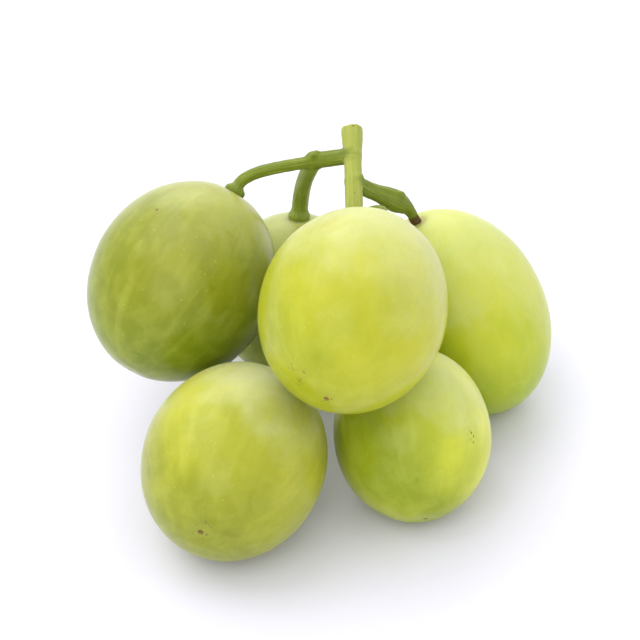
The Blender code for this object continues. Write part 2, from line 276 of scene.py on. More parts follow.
# ---------------------------------------------------------------- where each berry is
class Place:
    """A berry's size, axis and centre, the centre from its CAD node's box."""

    def __init__(self, title, settings):
        self.half_length = settings.length / 2
        self.half_width = settings.width / 2
        self.axis = Vector(settings.axis).normalized()
        low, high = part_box("berry_" + title)
        self.centre = (low + high) / 2
        if title in ON_FLOOR:
            self.centre.z = self.half(DOWN) - CONTACT_FLAT
        self.turn = (-self.axis).to_track_quat("Z", "Y").to_matrix().to_4x4()

    def half(self, way):
        """Half the berry's thickness along a way."""
        along = self.axis.dot(way)
        return math.sqrt(self.half_width**2 + (self.half_length**2 - self.half_width**2) * along**2)

    def stem_end(self, distance):
        """A point on its axis, this far off the navel."""
        return self.centre - self.axis * (self.half_length - NAVEL_DEPTH + distance)


# ---------------------------------------------------------------- node groups
def new_group(name, inputs, outputs):
    """A shader node group with named sockets, and its two end nodes."""
    group = bpy.data.node_groups.new(name, "ShaderNodeTree")
    for title, kind, default in inputs:
        socket = group.interface.new_socket(title, in_out="INPUT", socket_type=kind)
        if default is not None:
            socket.default_value = default
    for title, kind in outputs:
        group.interface.new_socket(title, in_out="OUTPUT", socket_type=kind)
    return group, group.nodes.new("NodeGroupInput"), group.nodes.new("NodeGroupOutput")


def add_node(tree, kind, **values):
    """A node whose plain properties are set, and whose sockets are fed by name.

    A value that is a socket is linked, anything else becomes the socket's own value.
    """
    node = tree.nodes.new(kind)
    for key, value in values.items():
        if hasattr(node, key) and key not in node.inputs:
            setattr(node, key, value)
            continue
        socket = node.inputs[key]
        if isinstance(value, bpy.types.NodeSocket):
            tree.links.new(value, socket)
        else:
            socket.default_value = value
    return node


def math_node(tree, operation, first, second=0.0, third=None, clamp=False):
    node = tree.nodes.new("ShaderNodeMath")
    node.operation = operation
    node.use_clamp = clamp
    for socket, value in zip(node.inputs, (first, second, third)):
        if isinstance(value, bpy.types.NodeSocket):
            tree.links.new(value, socket)
        elif value is not None:
            socket.default_value = value
    return node.outputs[0]


def vector_node(tree, operation, first, second=None, scale=None):
    node = tree.nodes.new("ShaderNodeVectorMath")
    node.operation = operation
    for socket, value in zip(node.inputs, (first, second)):
        if isinstance(value, bpy.types.NodeSocket):
            tree.links.new(value, socket)
        elif value is not None:
            socket.default_value = value
    if scale is not None:
        if isinstance(scale, bpy.types.NodeSocket):
            tree.links.new(scale, node.inputs["Scale"])
        else:
            node.inputs["Scale"].default_value = scale
    return node.outputs["Value" if operation in ("LENGTH", "DOT_PRODUCT") else "Vector"]


def remap(tree, value, low, high, to_low=0.0, to_high=1.0):
    """A smooth step between two values."""
    node = tree.nodes.new("ShaderNodeMapRange")
    node.interpolation_type = "SMOOTHSTEP"
    tree.links.new(value, node.inputs["Value"])
    node.inputs["From Min"].default_value = low
    node.inputs["From Max"].default_value = high
    node.inputs["To Min"].default_value = to_low
    node.inputs["To Max"].default_value = to_high
    return node.outputs["Result"]


def mix_colour(tree, factor, first, second):
    """Mixes two colours. A Mix node's colour sockets are 6 and 7, and its colour comes out at 2."""
    node = tree.nodes.new("ShaderNodeMix")
    node.data_type = "RGBA"
    for socket, value in ((node.inputs[0], factor), (node.inputs[6], first), (node.inputs[7], second)):
        if isinstance(value, bpy.types.NodeSocket):
            tree.links.new(value, socket)
        else:
            socket.default_value = value
    return node.outputs[2]


def noise_node(tree, vector, scale, detail, roughness=0.5, distortion=0.0):
    node = tree.nodes.new("ShaderNodeTexNoise")
    tree.links.new(vector, node.inputs["Vector"])
    node.inputs["Scale"].default_value = scale
    node.inputs["Detail"].default_value = detail
    node.inputs["Roughness"].default_value = roughness
    node.inputs["Distortion"].default_value = distortion
    return node.outputs["Fac"]


def shifted(tree, place, **offsets):
    """A place moved along the named axes, so that no two berries show the same part of a pattern."""
    return vector_node(tree, "ADD", place, add_node(tree, "ShaderNodeCombineXYZ", **offsets).outputs[0])


def make_clouding_and_shade_group():
    """How far the skin is from its lit green, its mottling, and pale veins from end to end.

    The clouds grow at random, and as painted shade over the side that faces away from the light.
    """
    group, inside, out = new_group(
        "Skin Clouding And Shade",
        [
            ("Vector", "NodeSocketVector", None),
            ("Sunny Way", "NodeSocketVector", None),
            ("Offset", "NodeSocketFloat", 0.0),
        ],
        [
            ("Clouds", "NodeSocketFloat"),
            ("Mottle", "NodeSocketFloat"),
            ("Veins", "NodeSocketFloat"),
            ("Stem End", "NodeSocketFloat"),
        ],
    )
    here = inside.outputs["Vector"]
    offset = inside.outputs["Offset"]
    moved = shifted(group, here, X=offset, Y=offset, Z=offset)
    slow = noise_node(group, moved, 0.9, 1.0, 0.4, 0.2)
    patchy = noise_node(group, moved, 3.4, 4.0, 0.55, 0.2)
    both = math_node(group, "MULTIPLY_ADD", patchy, 0.30, math_node(group, "MULTIPLY", slow, 0.80))
    # Painted shade: the skin goes to its shaded colour on the side turned away from the light.
    faced = vector_node(group, "DOT_PRODUCT", here, inside.outputs["Sunny Way"])
    painted_shade = remap(group, faced, 0.80, -0.50, 0.0, 0.8)
    clouds_and_shade = math_node(group, "MULTIPLY_ADD", remap(group, both, 0.40, 0.70), 0.45, painted_shade)
    group.links.new(math_node(group, "MINIMUM", clouds_and_shade, 1.0), out.inputs["Clouds"])

    drawn_out = vector_node(group, "MULTIPLY", moved, (1.0, 1.0, 0.75))
    small = noise_node(group, drawn_out, 5.5, 3.0, 0.55, 0.35)
    group.links.new(remap(group, small, 0.36, 0.68), out.inputs["Mottle"])

    flat = vector_node(group, "MULTIPLY", here, (1.0, 1.0, 0.0))
    round_way = vector_node(group, "NORMALIZE", flat)
    parts = add_node(group, "ShaderNodeSeparateXYZ", Vector=here)
    slow_height = math_node(group, "MULTIPLY_ADD", parts.outputs["Z"], 0.16, offset)
    streak = shifted(group, round_way, Z=slow_height)
    bent = math_node(group, "MULTIPLY", noise_node(group, moved, 2.2, 2.0), 0.10)
    wavering = vector_node(group, "ADD", streak, vector_node(group, "SCALE", here, scale=bent))
    streaks = noise_node(group, wavering, 5.5, 2.0, 0.5)
    ends = math_node(group, "ABSOLUTE", parts.outputs["Z"])
    fade = remap(group, ends, 0.55, 1.0, 1.0, 0.35)
    veins = math_node(group, "MULTIPLY", remap(group, streaks, 0.50, 0.74), fade)
    group.links.new(veins, out.inputs["Veins"])
    group.links.new(remap(group, parts.outputs["Z"], 0.35, 1.0), out.inputs["Stem End"])
    return group


def make_dots_group():
    """Scattered pinprick pores of the skin, and their height."""
    group, inside, out = new_group(
        "Skin Pores",
        [("Vector", "NodeSocketVector", None), ("Density", "NodeSocketFloat", 11.0)],
        [("Dots", "NodeSocketFloat"), ("Height", "NodeSocketFloat")],
    )
    cells = add_node(
        group,
        "ShaderNodeTexVoronoi",
        Vector=inside.outputs["Vector"],
        Scale=inside.outputs["Density"],
        Randomness=1.0,
    )
    pick = add_node(group, "ShaderNodeSeparateColor", Color=cells.outputs["Color"])
    size = math_node(group, "MULTIPLY_ADD", pick.outputs["Green"], 0.06, 0.05)
    inner = math_node(group, "SUBTRACT", cells.outputs["Distance"], size)
    dot = remap(group, inner, 0.0, 0.05, 1.0, 0.0)
    chosen = remap(group, pick.outputs["Red"], 0.30, 0.75)
    dots = math_node(group, "MULTIPLY", dot, chosen)
    group.links.new(dots, out.inputs["Dots"])
    fine = noise_node(group, inside.outputs["Vector"], 34.0, 3.0, 0.6)
    swell = noise_node(group, inside.outputs["Vector"], 7.0, 2.0, 0.5)
    relief = math_node(group, "MULTIPLY_ADD", swell, 0.9, math_node(group, "MULTIPLY", fine, 0.16))
    group.links.new(math_node(group, "MULTIPLY_ADD", dots, 0.12, relief), out.inputs["Height"])
    return group


def make_bloom_and_highlight_group():
    """Whitish waxy bloom, thickest at the stem end, plus a painted highlight on the side facing the light.
    """
    group, inside, out = new_group(
        "Waxy Bloom And Highlight",
        [
            ("Vector", "NodeSocketVector", None),
            ("Open Way", "NodeSocketVector", None),
            ("Amount", "NodeSocketFloat", 0.5),
            ("Offset", "NodeSocketFloat", 0.0),
        ],
        [("Film And Highlight", "NodeSocketFloat")],
    )
    offset = inside.outputs["Offset"]
    moved = shifted(group, inside.outputs["Vector"], X=offset, Z=offset)
    patches = remap(group, noise_node(group, moved, 1.5, 5.0, 0.55, 0.3), 0.26, 0.78)
    rubs = noise_node(group, vector_node(group, "MULTIPLY", moved, (1.0, 2.2, 0.9)), 1.9, 4.0, 0.6, 0.8)
    rubbed = remap(group, rubs, 0.50, 0.74, 1.0, 0.6)
    parts = add_node(group, "ShaderNodeSeparateXYZ", Vector=inside.outputs["Vector"])
    # Painted highlight: the bloom whitens more on the side that faces the light.
    faced = vector_node(group, "DOT_PRODUCT", inside.outputs["Vector"], inside.outputs["Open Way"])
    highlight_side = math_node(group, "MULTIPLY_ADD", patches, 0.5, math_node(group, "MULTIPLY", faced, 0.6))
    wavy = math_node(group, "MULTIPLY_ADD", parts.outputs["Z"], 0.5, highlight_side)
    kept = remap(group, wavy, 0.30, 1.20, 0.04, 1.0)
    powder = noise_node(group, moved, 48.0, 2.0, 0.7)
    dusty = math_node(group, "MULTIPLY_ADD", powder, 0.5, 0.75)
    bloom_and_highlight = math_node(group, "MULTIPLY", math_node(group, "MULTIPLY", kept, rubbed), dusty)
    group.links.new(
        math_node(group, "MULTIPLY", bloom_and_highlight, inside.outputs["Amount"], clamp=True), out.inputs["Film And Highlight"]
    )
    return group


def make_ends_group():
    """The dry scar at the blossom end, the specks round it, and the corky ring round the navel."""
    group, inside, out = new_group(
        "Berry Ends",
        [("Vector", "NodeSocketVector", None), ("Offset", "NodeSocketFloat", 0.0)],
        [("Scar", "NodeSocketFloat"), ("Halo", "NodeSocketFloat"), ("Navel", "NodeSocketFloat")],
    )
    here = inside.outputs["Vector"]
    parts = add_node(group, "ShaderNodeSeparateXYZ", Vector=here)
    away = vector_node(group, "LENGTH", vector_node(group, "MULTIPLY", here, (1.0, 1.0, 0.0)))
    ragged = noise_node(group, here, 26.0, 3.0, 0.6)
    uneven = math_node(group, "MULTIPLY_ADD", math_node(group, "SUBTRACT", ragged, 0.5), 0.05, away)
    lower = remap(group, parts.outputs["Z"], -0.4, -0.2, 1.0, 0.0)
    upper = remap(group, parts.outputs["Z"], 0.2, 0.4)
    point = remap(group, uneven, 0.022, 0.040, 1.0, 0.0)
    offset = inside.outputs["Offset"]
    moved = shifted(group, here, X=offset, Y=offset)
    cells = add_node(group, "ShaderNodeTexVoronoi", Vector=moved, Scale=17.0)
    speck = remap(group, cells.outputs["Distance"], 0.16, 0.30, 1.0, 0.0)
    near = remap(group, away, 0.06, 0.15, 0.75, 0.0)
    scar = math_node(group, "MAXIMUM", point, math_node(group, "MULTIPLY", speck, near))
    group.links.new(math_node(group, "MULTIPLY", scar, lower), out.inputs["Scar"])
    halo = remap(group, away, 0.05, 0.24, 1.0, 0.0)
    group.links.new(math_node(group, "MULTIPLY", halo, lower), out.inputs["Halo"])
    ring = remap(group, uneven, 0.11, 0.17, 1.0, 0.0)
    group.links.new(math_node(group, "MULTIPLY", ring, upper), out.inputs["Navel"])
    return group


def make_marks_group():
    """Small healed scuffs, thin and short, where a berry rubbed on its neighbours."""
    group, inside, out = new_group(
        "Healed Scuffs",
        [
            ("Vector", "NodeSocketVector", None),
            ("Amount", "NodeSocketFloat", 0.3),
            ("Offset", "NodeSocketFloat", 0.0),
        ],
        [("Marks", "NodeSocketFloat")],
    )
    offset = inside.outputs["Offset"]
    moved = shifted(group, inside.outputs["Vector"], X=offset, Y=offset)
    thin = noise_node(group, vector_node(group, "MULTIPLY", moved, (9.0, 9.0, 2.4)), 1.6, 4.0, 0.6, 0.6)
    off_line = math_node(group, "ABSOLUTE", math_node(group, "SUBTRACT", thin, 0.5))
    line = remap(group, off_line, 0.0, 0.020, 1.0, 0.0)
    where = remap(group, noise_node(group, moved, 1.9, 2.0), 0.60, 0.70)
    marks = math_node(group, "MULTIPLY", line, where)
    group.links.new(
        math_node(group, "MULTIPLY", marks, inside.outputs["Amount"], clamp=True), out.inputs["Marks"]
    )
    return group


def make_flecks_group():
    """A small cluster of brown flecks round one spot of the skin."""
    group, inside, out = new_group(
        "Brown Flecks",
        [
            ("Vector", "NodeSocketVector", None),
            ("Spot", "NodeSocketVector", None),
            ("Reach", "NodeSocketFloat", 0.12),
        ],
        [("Flecks", "NodeSocketFloat")],
    )
    here = inside.outputs["Vector"]
    away = vector_node(group, "LENGTH", vector_node(group, "SUBTRACT", here, inside.outputs["Spot"]))
    part = math_node(group, "DIVIDE", away, inside.outputs["Reach"])
    near = remap(group, part, 0.55, 1.0, 1.0, 0.0)
    cells = add_node(group, "ShaderNodeTexVoronoi", Vector=here, Scale=19.0)
    ragged = math_node(group, "SUBTRACT", noise_node(group, here, 60.0, 2.0, 0.6), 0.5)
    uneven = math_node(group, "MULTIPLY_ADD", ragged, 0.3, cells.outputs["Distance"])
    speck = remap(group, uneven, 0.24, 0.40, 1.0, 0.0)
    picked = add_node(group, "ShaderNodeSeparateColor", Color=cells.outputs["Color"]).outputs["Red"]
    strength = remap(group, picked, 0.10, 0.60, 0.35, 1.0)
    group.links.new(
        math_node(group, "MULTIPLY", math_node(group, "MULTIPLY", speck, near), strength),
        out.inputs["Flecks"],
    )
    return group


GROUP_MAKERS = {
    "Brown Flecks": make_flecks_group,
    "Skin Clouding And Shade": make_clouding_and_shade_group,
    "Skin Pores": make_dots_group,
    "Waxy Bloom And Highlight": make_bloom_and_highlight_group,
    "Berry Ends": make_ends_group,
    "Healed Scuffs": make_marks_group,
}


def group_node(tree, name, **values):
    """Places one of the shared effects in a material."""
    group = bpy.data.node_groups.get(name) or GROUP_MAKERS[name]()
    node = tree.nodes.new("ShaderNodeGroup")
    node.node_tree = group
    for key, value in values.items():
        socket = node.inputs[key.replace("_", " ")]
        if isinstance(value, bpy.types.NodeSocket):
            tree.links.new(value, socket)
        else:
            socket.default_value = value
    return node


def new_material(name):
    material = bpy.data.materials.new(name)
    material.use_nodes = True
    tree = material.node_tree
    return material, tree, tree.nodes["Principled BSDF"]


# How each berry's skin differs: a seed for its patterns, how much bloom and painted highlight and how many
# scuffs it has, the way that its lit side faces, from which its painted light and shade are laid, and the
# spot and the reach of its brown flecks, on the berry's own frame.
SKINS = {
    "left": (1.7, 0.16, 0.30, (0.1, 0.3, 0.95), (0.20, 0.90, 0.40), 0.07),
    "back": (4.1, 0.22, 0.25, (0.0, 0.0, 1.0), (0.60, 0.50, 0.60), 0.08),
    "top": (7.3, 0.50, 0.12, (0.4, 0.0, 0.9), (0.307, 0.246, -0.919), 0.17),
    "right": (11.9, 0.38, 0.10, (0.6, 0.0, 0.8), (0.50, -0.70, 0.50), 0.06),
    "front_left": (15.2, 0.60, 0.25, (0.2, 0.2, 1.0), (-0.10, 0.10, -0.99), 0.10),
    "front_right": (19.6, 0.56, 0.35, (0.7, 0.2, 0.7), (-0.629, 0.721, -0.292), 0.10),
}
PALE_FLESH = (0.700, 0.720, 0.140, 1.0)
# The bloom's whitish colour, also laid on as a painted highlight on each berry's lit side.
BLOOM_AND_HIGHLIGHT = (0.740, 0.780, 0.590, 1.0)
SCAR_BROWN = (0.200, 0.105, 0.030, 1.0)
SCUFF_BROWN = (0.330, 0.260, 0.090, 1.0)

# What tints the skin, how strongly and to which colour, from the lowest layer to the top one.
TINTS = (
    ("Mottle", 0.11, PALE_FLESH),
    ("Veins", 0.10, PALE_FLESH),
    ("Stem End", 0.22, PALE_FLESH),
    ("Halo", 0.06, PALE_FLESH),
    ("Dots", 0.30, PALE_FLESH),
    # Partly real bloom in patches, partly a painted highlight on the lit side.
    ("Film And Highlight", 0.75, BLOOM_AND_HIGHLIGHT),
    ("Marks", 1.00, SCUFF_BROWN),
    ("Flecks", 0.85, SCAR_BROWN),
    ("Navel", 0.45, SCUFF_BROWN),
    ("Scar", 0.90, SCAR_BROWN),
)
CLEAN_ROUGHNESS = 0.28
FILM_ROUGHNESS = 0.30  # what each of these adds where it is whole
SCUFF_ROUGHNESS = 0.30
SCAR_ROUGHNESS = 0.35
PORES_ACROSS = 14.0  # on one half width of a berry
PORE_RELIEF = 0.10 * MM
FLESH_DEPTH = 7.0 * MM  # how deep light goes into a berry


def skin_material(title, place, settings):
    """The skin of one berry, on its own frame: +Z to its stem end, one unit to its skin."""
    seed, bloom, scuffs, lit_way, spot_of_flecks, fleck_reach = SKINS[title]
    # The way the painted light comes from, in the berry's frame: lit on that side, painted shade on the
    # other.
    lit_way = place.turn.inverted() @ Vector(lit_way).normalized()
    material, tree, shader = new_material("grape_skin_" + title)
    spot = add_node(tree, "ShaderNodeTexCoord").outputs["Object"]
    own = add_node(
        tree,
        "ShaderNodeMapping",
        vector_type="TEXTURE",
        Vector=spot,
        Location=place.centre,
        Rotation=place.turn.to_euler(),
        Scale=(place.half_width, place.half_width, place.half_length),
    ).outputs["Vector"]

    effects = {}
    for name, values in (
        ("Skin Clouding And Shade", {"Sunny_Way": lit_way, "Offset": seed}),
        ("Skin Pores", {"Density": PORES_ACROSS}),
        ("Waxy Bloom And Highlight", {"Open_Way": lit_way, "Amount": bloom, "Offset": seed}),
        ("Berry Ends", {"Offset": seed}),
        ("Healed Scuffs", {"Amount": scuffs, "Offset": seed}),
        ("Brown Flecks", {"Spot": spot_of_flecks, "Reach": fleck_reach}),
    ):
        node = group_node(tree, name, Vector=own, **values)
        effects.update({socket.name: socket for socket in node.outputs})

    # The lit colour and the shaded colour, mixed by clouds that hold the painted shade.
    sunny = (*settings.sunny, 1.0)
    shaded = (*settings.shaded, 1.0)
    colour = mix_colour(tree, effects["Clouds"], sunny, shaded)
    for name, strength, tint in TINTS:
        colour = mix_colour(tree, math_node(tree, "MULTIPLY", effects[name], strength), colour, tint)
    tree.links.new(colour, shader.inputs["Base Color"])

    dull = math_node(tree, "MULTIPLY_ADD", effects["Film And Highlight"], FILM_ROUGHNESS, CLEAN_ROUGHNESS)
    dull = math_node(tree, "MULTIPLY_ADD", effects["Marks"], SCUFF_ROUGHNESS, dull)
    dull = math_node(tree, "MULTIPLY_ADD", effects["Scar"], SCAR_ROUGHNESS, dull, clamp=True)
    tree.links.new(dull, shader.inputs["Roughness"])

    bump = add_node(
        tree, "ShaderNodeBump", Strength=0.35, Distance=PORE_RELIEF, Height=effects["Height"]
    )
    tree.links.new(bump.outputs["Normal"], shader.inputs["Normal"])

    shader.inputs["IOR"].default_value = 1.40
    shader.inputs["Subsurface Weight"].default_value = 0.85
    shader.inputs["Subsurface Radius"].default_value = (0.75, 1.0, 0.12)
    shader.inputs["Subsurface Scale"].default_value = FLESH_DEPTH
    shader.inputs["Specular IOR Level"].default_value = 0.30
    shader.inputs["Coat Weight"].default_value = 0.14
    shader.inputs["Coat Roughness"].default_value = 0.20
    return material


# ---------------------------------------------------------------- the berries' shape
# On the pattern berry, which reaches one unit from its middle to its skin.
SCAR_EDGE = math.cos(math.pi * 1.5 / BERRY_RINGS)  # between its first and second rings
SCAR_STEPS = ((0.010, 0.0), (0.006, -SCAR_DEPTH), (0.010, 0.0), (0.006, SCAR_DEPTH * 0.7))
SCAR_REACH = 0.20
SHOULDER_TOP = 0.99  # what lies above this is drawn in
SHOULDER_REACH = 1.2
NAVEL_TOP = 0.9995  # what lies above this sinks by the navel's full depth
HAIR = 1e-4  # so that no ring at a limit itself is taken


def drag(value, reach):
    """Moves what is selected, and the skin round it less and less."""
    bpy.ops.transform.translate(
        value=value,
        use_proportional_edit=True,
        proportional_edit_falloff="SMOOTH",
        proportional_size=reach,
    )


def pattern_berry():
    """The berry that all six are copied from: a ball of half width one, stem end up."""
    deselect_all()
    bpy.ops.mesh.primitive_uv_sphere_add(segments=BERRY_SIDES, ring_count=BERRY_RINGS, radius=1.0)
    berry = bpy.context.object
    berry.name = "pattern_berry"

    pick_faces(berry, lambda middle: middle.z < -SCAR_EDGE)
    for thickness, depth in SCAR_STEPS:
        bpy.ops.mesh.inset(thickness=thickness, depth=depth)
    close_edit()

    pick_points(berry, lambda place: place.z < -SCAR_EDGE - HAIR)
    drag((0.0, 0.0, SCAR_DEPTH), SCAR_REACH)
    close_edit()

    pick_points(berry, lambda place: place.z > SHOULDER_TOP)
    bpy.ops.transform.resize(
        value=(1.0 - SHOULDER, 1.0 - SHOULDER, 1.0),
        use_proportional_edit=True,
        proportional_edit_falloff="SMOOTH",
        proportional_size=SHOULDER_REACH,
    )
    close_edit()
    return berry


def dent_navel(berry, depth):
    """The dimple where the pedicel enters."""
    pick_points(berry, lambda place: place.z > NAVEL_TOP)
    drag((0.0, 0.0, -depth), NAVEL_RADIUS)
    close_edit()


# What makes a skin uneven: a name, the size and the fineness of its clouds, and their height.
SWELLS = (("lumps_", 9.0 * MM, 0, 0.26 * MM), ("ripples_", 2.2 * MM, 1, 0.035 * MM))
CUT_TOLERANCE = 1e-7


def make_berry(title, pattern, place, settings):
    """A copy of the pattern, sized, turned, put in place, made uneven and flattened by the floor."""
    take_only(pattern)
    bpy.ops.object.duplicate()
    berry = bpy.context.object
    berry.name = "grape_" + title
    berry.data.name = berry.name
    dent_navel(berry, NAVEL_DEPTH / place.half_length)
    berry.scale = (place.half_width, place.half_width, place.half_length)
    settle(berry)
    berry.matrix_world = Matrix.Translation(place.centre) @ place.turn
    settle(berry)

    for name, size, fineness, height in SWELLS:
        apply_modifier(
            berry,
            "DISPLACE",
            texture=clouds(name + title, size, fineness),
            texture_coords="LOCAL",
            strength=height,
            mid_level=0.5,
        )
    if title in ON_FLOOR:
        edit(berry)
        bpy.ops.object.mode_set(mode="EDIT")
        bpy.ops.mesh.select_all(action="SELECT")
        bpy.ops.mesh.bisect(
            plane_co=(0.0, 0.0, 0.0),
            plane_no=(0.0, 0.0, 1.0),
            use_fill=True,
            clear_inner=True,
            threshold=CUT_TOLERANCE,
        )
        close_edit()
    take_only(berry)
    bpy.ops.object.shade_smooth()
    berry.data.materials.clear()
    berry.data.materials.append(skin_material(title, place, settings))
    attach(berry, "root")
    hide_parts("berry_" + title)


def berry_places(bunch):
    return {row[0]: Place(row[0], getattr(bunch, row[0])) for row in BERRIES}


class GRAPES_OT_berries(bpy.types.Operator):
    """Makes the six berries"""

    bl_idname = "grapes.berries"
    bl_label = "Berries"

    def execute(self, context):
        bunch = context.scene.grapes
        pattern = pattern_berry()
        for title, place in berry_places(bunch).items():
            make_berry(title, pattern, place, getattr(bunch, title))
        bpy.data.objects.remove(pattern)
        return {"FINISHED"}


# ---------------------------------------------------------------- the stem's shape
class Branch:
    """One branch's centreline, how pale it is and how corky its two ends are."""

    def __init__(self, points, shade, cork_start, cork_end):
        self.points = points
        self.shade = shade
        self.cork_start = cork_start
        self.cork_end = cork_end


BRANCH_CUTS = 11
BRANCH_STEPS = 3  # between two of those cuts
BRANCH_ROUNDNESS = 6
KNUCKLE_SIDES = 20
KNUCKLE_RINGS = 12
KNUCKLE_SWELL = 1.18  # a knuckle's width, in widths of its branch
KNUCKLE_STRETCH = 1.25


def width_at(widths, t):
    """The width at a part of the way along, from (part, width) pairs."""
    for (t0, w0), (t1, w1) in zip(widths, widths[1:]):
        if t <= t1:
            part = (t - t0) / max(t1 - t0, 1e-9)
            ease = part * part * (3 - 2 * part)
            return w0 + (w1 - w0) * ease
    return widths[-1][1]


def grow(start, start_way, end, end_way, widths, shade, cork=(0.0, 0.0), tail=0.0):
    """A round branch from one point along a way to another, the last stretch of it straight."""
    deselect_all()
    bpy.ops.curve.primitive_bezier_curve_add(location=(0.0, 0.0, 0.0))
    rod = bpy.context.object
    rod.name = "branch"
    spline = rod.data.splines[0]
    bend_end = end - end_way * tail
    reach = (bend_end - start).length * BEND
    corners = [(start - start_way * reach, start, start + start_way * reach)]
    if tail > 0.0:
        spline.bezier_points.add(1)
        third = end_way * tail / 3
        corners.append((bend_end - end_way * reach, bend_end, bend_end + third))
        corners.append((end - third, end, end + third))
    else:
        corners.append((end - end_way * reach, end, end + end_way * reach))
    for point, (before, here, after) in zip(spline.bezier_points, corners):
        point.handle_left_type = "FREE"
        point.handle_right_type = "FREE"
        point.handle_left = before
        point.co = here
        point.handle_right = after
    bpy.ops.object.mode_set(mode="EDIT")
    bpy.ops.curve.select_all(action="SELECT")
    bpy.ops.curve.subdivide(number_cuts=BRANCH_CUTS)
    bpy.ops.object.mode_set(mode="OBJECT")

    points = [point.co.copy() for point in rod.data.splines[0].bezier_points]
    runs = [0.0]
    for p, q in zip(points, points[1:]):
        runs.append(runs[-1] + (q - p).length)
    sizes = [width_at(widths, run / runs[-1]) for run in runs]
    for point, size in zip(rod.data.splines[0].bezier_points, sizes):
        point.radius = size / MM
    rod.data.dimensions = "3D"
    rod.data.resolution_u = BRANCH_STEPS
    rod.data.bevel_depth = 0.5 * MM
    rod.data.bevel_resolution = BRANCH_ROUNDNESS
    rod.data.use_fill_caps = True
    take_only(rod)
    bpy.ops.object.convert(target="MESH")
    return rod, Branch(points, shade, *cork)


def swell(place, width, way, stretch=KNUCKLE_STRETCH):
    """A rounded knuckle where branches part, a little longer than wide."""
    deselect_all()
    bpy.ops.mesh.primitive_uv_sphere_add(
        segments=KNUCKLE_SIDES, ring_count=KNUCKLE_RINGS, radius=width / 2
    )
    knuckle = bpy.context.object
    knuckle.name = "knuckle"
    knuckle.scale = (1.0, 1.0, stretch)
    settle(knuckle)
    knuckle.matrix_world = Matrix.Translation(place) @ way.to_track_quat("Z", "Y").to_matrix().to_4x4()
    settle(knuckle)
    return knuckle


SEAT_LENGTH = 1.3 * MM
SEAT_SINK = 0.22 * MM  # how far a disc reaches into the navel
LIP = 0.45  # of the seat's length, the part with the full width
LIP_TAPER = 0.94
NECK_WIDTH = 1.3 * MM  # of the right pedicel, where it enters its berry
SWELLING_WIDTH = 2.9 * MM  # of the right pedicel's bark before that neck

# The widths of the cut end from its face on: part of the stalk, and share of the cut end's width.
CUT_PROFILE = ((0.0, 0.96), (0.06, 1.02), (0.14, 0.97))
CUT_ENDS_AT = 0.32
CUT_CORK = 0.35
HUB_CLEARANCE = 0.1 * MM  # from the back of the top berry to the hub's middle

BUD_WIDTH = 1.5 * MM
BUD_STRETCH = 1.5
BUD_REACH = 0.45  # of the branch's width
STUB_WIDTH = 1.5 * MM
STUB_STRETCH = 1.3
STUB_REACH = 1.0 * MM

# How pale each branch is: the sturdy green at 0, the green at 0.55 and the pale green at 1.
SHADES = {
    "stalk": 1.0,
    "lower_stalk": 0.85,
    "side_branch": 0.55,
    "left": 0.45,
    "back": 0.12,
    "top": 0.55,
    "right": 0.42,
    "front_left": 0.5,
    "front_right": 0.5,
}
# How corky each pedicel is where it meets its berry.
SEAT_CORK = {"left": 0.25, "back": 0.2, "top": 0.5, "right": 1.5, "front_left": 0.3, "front_right": 0.3}


def pedicel(title, start, way, place, widths, seat_width):
    """The stalk of one berry, from a knuckle to the disc on the berry's navel."""
    seat = place.stem_end(-SEAT_SINK)
    tail = SEAT_LENGTH + SEAT_SINK
    whole = (seat - start).length
    flare = 1.0 - tail / whole
    along = [(0.0, widths[0])]
    for n, width in enumerate(widths):
        along.append((flare * (n + 1) / len(widths), width))
    lip = 1.0 - (tail * LIP) / whole
    along.append((lip, seat_width))
    along.append((1.0, seat_width * LIP_TAPER))
    return grow(start, way, seat, place.axis, along, SHADES[title], (0.0, SEAT_CORK[title]), tail)


